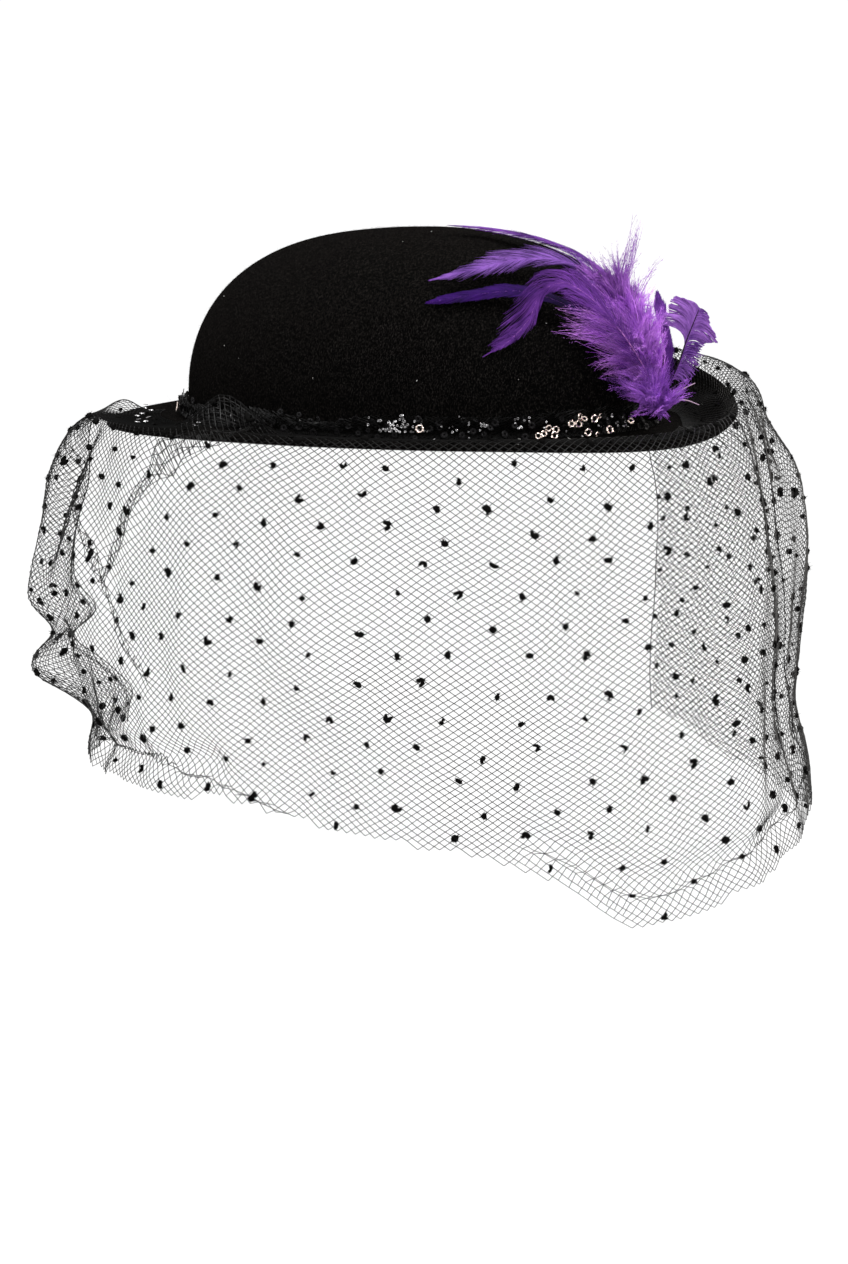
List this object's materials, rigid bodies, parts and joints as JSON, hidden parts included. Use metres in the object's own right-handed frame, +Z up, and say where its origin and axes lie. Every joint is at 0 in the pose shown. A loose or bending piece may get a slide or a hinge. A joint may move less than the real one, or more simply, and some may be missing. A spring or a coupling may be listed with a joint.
{
  "type": "fascinator hat with net veil",
  "caption": "Small domed felt hat with a narrow upturned brim, a dotted net veil, a sequinned net band and a spray of curled feathers.",
  "frame": {"origin": "centre of the head opening, level with the foot of the crown, where the hat sits on the head", "axes": "+Z up along the crown, -Y towards the front of the hat where the feathers are, +X towards the wearer's left"},
  "size_m": [0.2578, 0.2904, 0.2362],
  "materials": {
    "felt": "matt wool felt with a fine nap",
    "net": "open diamond net with small chenille dots",
    "ruffle_net": "the same net, gathered in many layers",
    "sequins": "glossy cup sequins on a black braid",
    "purple_feather": "soft dyed feather",
    "violet_feather": "glossy dyed feather",
    "thread": "wound black thread"
  },
  "bodies": {
    "root": {"felt_hat": "felt", "veil": "net", "net_ruffle": "ruffle_net", "sequin_braid": "sequins", "quill_binding": "thread", "hackle_curled": "purple_feather", "hackle_broad": "purple_feather", "hackle_violet": "violet_feather", "hackle_top": "purple_feather", "spike_feather": "violet_feather", "fan_feather": "purple_feather", "marabou_plume": "purple_feather", "base_down": "purple_feather"}
  },
  "joints": []
}
